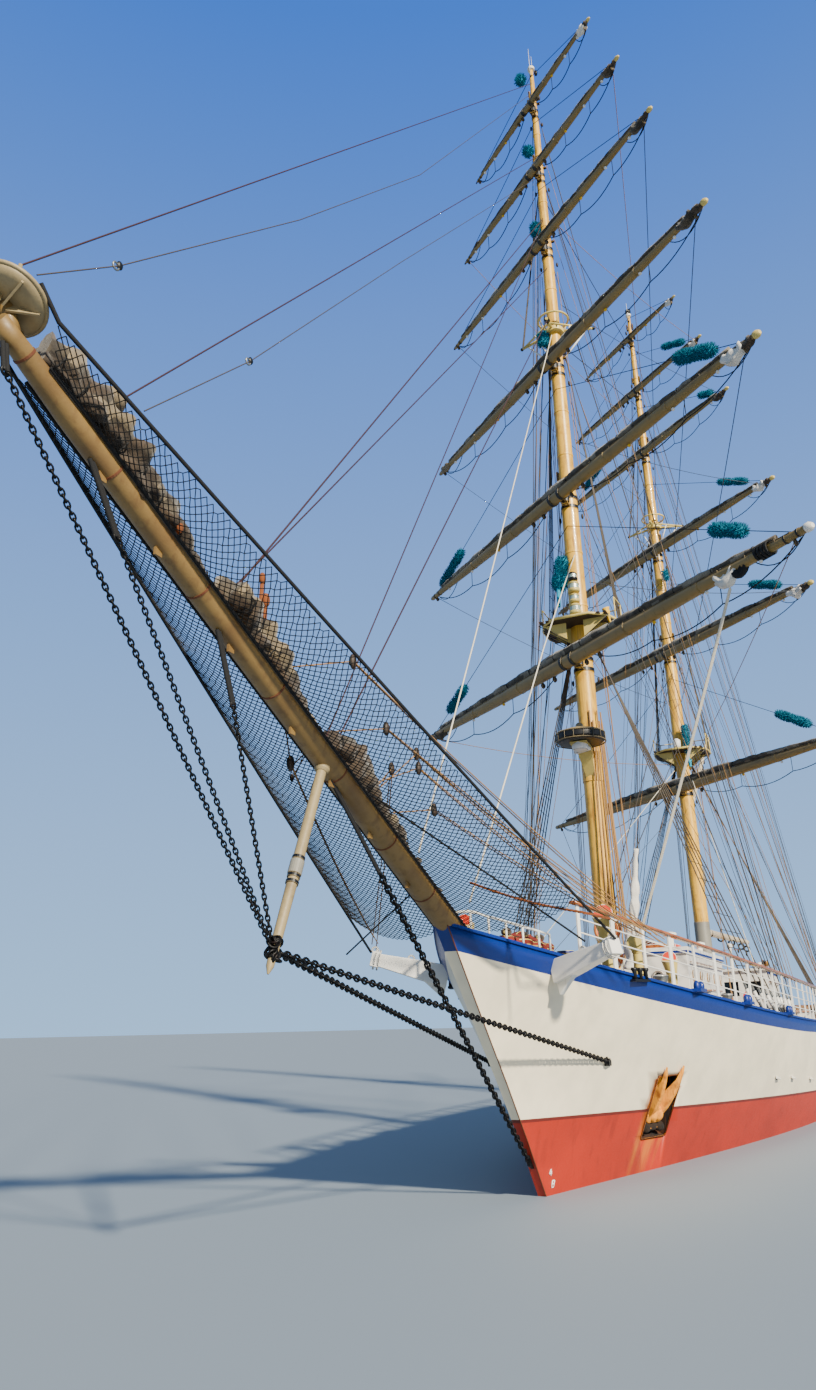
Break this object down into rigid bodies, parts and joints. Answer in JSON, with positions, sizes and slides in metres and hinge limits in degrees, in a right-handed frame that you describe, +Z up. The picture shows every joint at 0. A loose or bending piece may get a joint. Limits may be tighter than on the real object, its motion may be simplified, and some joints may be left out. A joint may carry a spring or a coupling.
{
  "type": "two-masted brig sailing ship, 1:2 scale model",
  "caption": "Two-masted square-rigged brig afloat with every sail furled, braced yards, long bowsprit, deckhouses and steering gear, as a 1:2 scale model.",
  "frame": {"origin": "on the centreline amidships, in the plane of the water", "axes": "+X to the bow, +Y to port, +Z up"},
  "size_m": [28.0007, 7.0215, 20.325],
  "materials": {
    "hull_paint": "gloss white topsides over red boot paint with a blue sheer band",
    "white_paint": "gloss white",
    "mast_paint": "buff yellow gloss",
    "yard_paint": "buff satin",
    "furled_canvas": "grey-white weathered canvas",
    "varnished_wood": "varnished, orange brown",
    "black_chain": "black painted",
    "wire_rope": "tarred and served",
    "rusty_iron": "rusty",
    "deck_gear_paint": "satin grey",
    "boot_paint": "matt red antifouling",
    "bronze": "cast bronze",
    "window_glass": "dark tinted"
  },
  "bodies": {
    "ship": {"hull": "hull_paint", "windlass": "deck_gear_paint", "bowsprit": "mast_paint", "dolphin_striker": "mast_paint", "martingale_chains": "black_chain", "bobstay": "black_chain", "cathead_port": "white_paint", "anchor_port": "rusty_iron", "rail_port": "varnished_wood", "cathead_starboard": "white_paint", "anchor_starboard": "rusty_iron", "rail_starboard": "varnished_wood", "foremast": "mast_paint", "fore_top": "white_paint", "fore_crosstrees": "white_paint", "mainmast": "mast_paint", "main_top": "white_paint", "main_crosstrees": "white_paint", "radar_platform": "white_paint", "furled_spanker": "furled_canvas", "furled_flying_jib": "furled_canvas", "furled_jib": "furled_canvas", "furled_staysail": "furled_canvas", "forward_deckhouse": "white_paint", "chart_house": "white_paint", "chart_house_glass": "window_glass", "wheel_pedestal": "white_paint", "topgallant_stay": "wire_rope", "topmast_stay": "wire_rope", "main_stay": "wire_rope"},
    "rudder": {"rudder": "boot_paint"},
    "propeller": {"propeller": "bronze"},
    "steering_wheel": {"steering_wheel": "varnished_wood"},
    "chart_house_door": {"chart_house_door": "varnished_wood"},
    "spanker_boom": {"spanker_boom": "yard_paint"},
    "spanker_gaff": {"spanker_gaff": "yard_paint"},
    "fore_course_yard": {"fore_course_yard": "yard_paint", "fore_course_furled": "furled_canvas"},
    "fore_lower_topsail_yard": {"fore_lower_topsail_yard": "yard_paint", "fore_lower_topsail_furled": "furled_canvas"},
    "fore_upper_topsail_yard": {"fore_upper_topsail_yard": "yard_paint", "fore_upper_topsail_furled": "furled_canvas"},
    "fore_topgallant_yard": {"fore_topgallant_yard": "yard_paint", "fore_topgallant_furled": "furled_canvas"},
    "fore_royal_yard": {"fore_royal_yard": "yard_paint", "fore_royal_furled": "furled_canvas"},
    "fore_skysail_yard": {"fore_skysail_yard": "yard_paint", "fore_skysail_furled": "furled_canvas"},
    "main_course_yard": {"main_course_yard": "yard_paint", "main_course_furled": "furled_canvas"},
    "main_lower_topsail_yard": {"main_lower_topsail_yard": "yard_paint", "main_lower_topsail_furled": "furled_canvas"},
    "main_upper_topsail_yard": {"main_upper_topsail_yard": "yard_paint", "main_upper_topsail_furled": "furled_canvas"},
    "main_topgallant_yard": {"main_topgallant_yard": "yard_paint", "main_topgallant_furled": "furled_canvas"},
    "main_royal_yard": {"main_royal_yard": "yard_paint", "main_royal_furled": "furled_canvas"},
    "main_skysail_yard": {"main_skysail_yard": "yard_paint", "main_skysail_furled": "furled_canvas"}
  },
  "joints": [
    {"name": "fore_course_brace", "type": "hinge", "parent": "ship", "child": "fore_course_yard", "pos_m": [6.22046, 0, 6.425], "axis": [0, 0, 1], "range_deg": [-2.7, 81.3]},
    {"name": "fore_lower_topsail_brace", "type": "hinge", "parent": "ship", "child": "fore_lower_topsail_yard", "pos_m": [6.205, 0, 9.1], "axis": [0, 0, 1], "range_deg": [-2.7, 81.3]},
    {"name": "fore_upper_topsail_brace", "type": "hinge", "parent": "ship", "child": "fore_upper_topsail_yard", "pos_m": [6.19, 0, 11.55], "axis": [0, 0, 1], "range_deg": [-2.7, 81.3]},
    {"name": "fore_topgallant_brace", "type": "hinge", "parent": "ship", "child": "fore_topgallant_yard", "pos_m": [6.17268, 0, 13.975], "axis": [0, 0, 1], "range_deg": [-2.7, 81.3]},
    {"name": "fore_royal_brace", "type": "hinge", "parent": "ship", "child": "fore_royal_yard", "pos_m": [6.15, 0, 15.65], "axis": [0, 0, 1], "range_deg": [-2.7, 81.3]},
    {"name": "fore_skysail_brace", "type": "hinge", "parent": "ship", "child": "fore_skysail_yard", "pos_m": [6.135, 0, 17.2], "axis": [0, 0, 1], "range_deg": [-2.7, 81.3]},
    {"name": "main_course_brace", "type": "hinge", "parent": "ship", "child": "main_course_yard", "pos_m": [-1.4292, 0, 6.025], "axis": [0, 0, 1], "range_deg": [-2.7, 81.3]},
    {"name": "main_lower_topsail_brace", "type": "hinge", "parent": "ship", "child": "main_lower_topsail_yard", "pos_m": [-1.44413, 0, 8.975], "axis": [0, 0, 1], "range_deg": [-2.7, 81.3]},
    {"name": "main_upper_topsail_brace", "type": "hinge", "parent": "ship", "child": "main_upper_topsail_yard", "pos_m": [-1.45923, 0, 11.425], "axis": [0, 0, 1], "range_deg": [-2.7, 81.3]},
    {"name": "main_topgallant_brace", "type": "hinge", "parent": "ship", "child": "main_topgallant_yard", "pos_m": [-1.47784, 0, 14.025], "axis": [0, 0, 1], "range_deg": [-2.7, 81.3]},
    {"name": "main_royal_brace", "type": "hinge", "parent": "ship", "child": "main_royal_yard", "pos_m": [-1.50121, 0, 15.775], "axis": [0, 0, 1], "range_deg": [-2.7, 81.3]},
    {"name": "main_skysail_brace", "type": "hinge", "parent": "ship", "child": "main_skysail_yard", "pos_m": [-1.51773, 0, 17.35], "axis": [0, 0, 1], "range_deg": [-2.7, 81.3]},
    {"name": "rudder_turn", "type": "hinge", "parent": "ship", "child": "rudder", "pos_m": [-8.975, 0, -1], "axis": [0, 0, 1], "range_deg": [-35, 35]},
    {"name": "wheel_turn", "type": "hinge", "parent": "ship", "child": "steering_wheel", "pos_m": [-8.15, 0, 2.175], "axis": [1, 0, 0], "range_deg": [-700, 700]},
    {"name": "propeller_spin", "type": "hinge", "parent": "ship", "child": "propeller", "pos_m": [-8.55, 0, -1.15], "axis": [1, 0, 0], "continuous": true},
    {"name": "door_swing", "type": "hinge", "parent": "ship", "child": "chart_house_door", "pos_m": [-6.60865, 0.2, 1.9], "axis": [0, 0, -1], "range_deg": [0, 110]},
    {"name": "boom_swing", "type": "hinge", "parent": "ship", "child": "spanker_boom", "pos_m": [-1.87326, 0, 3.2], "axis": [0, 0, 1], "range_deg": [-35, 35]},
    {"name": "gaff_swing", "type": "hinge", "parent": "ship", "child": "spanker_gaff", "pos_m": [-1.87109, 0, 5.7], "axis": [0, 0, 1], "range_deg": [-35, 35]}
  ],
  "couplings": [
    {"joint": "wheel_turn", "follows": "rudder_turn", "ratio": 20}
  ]
}
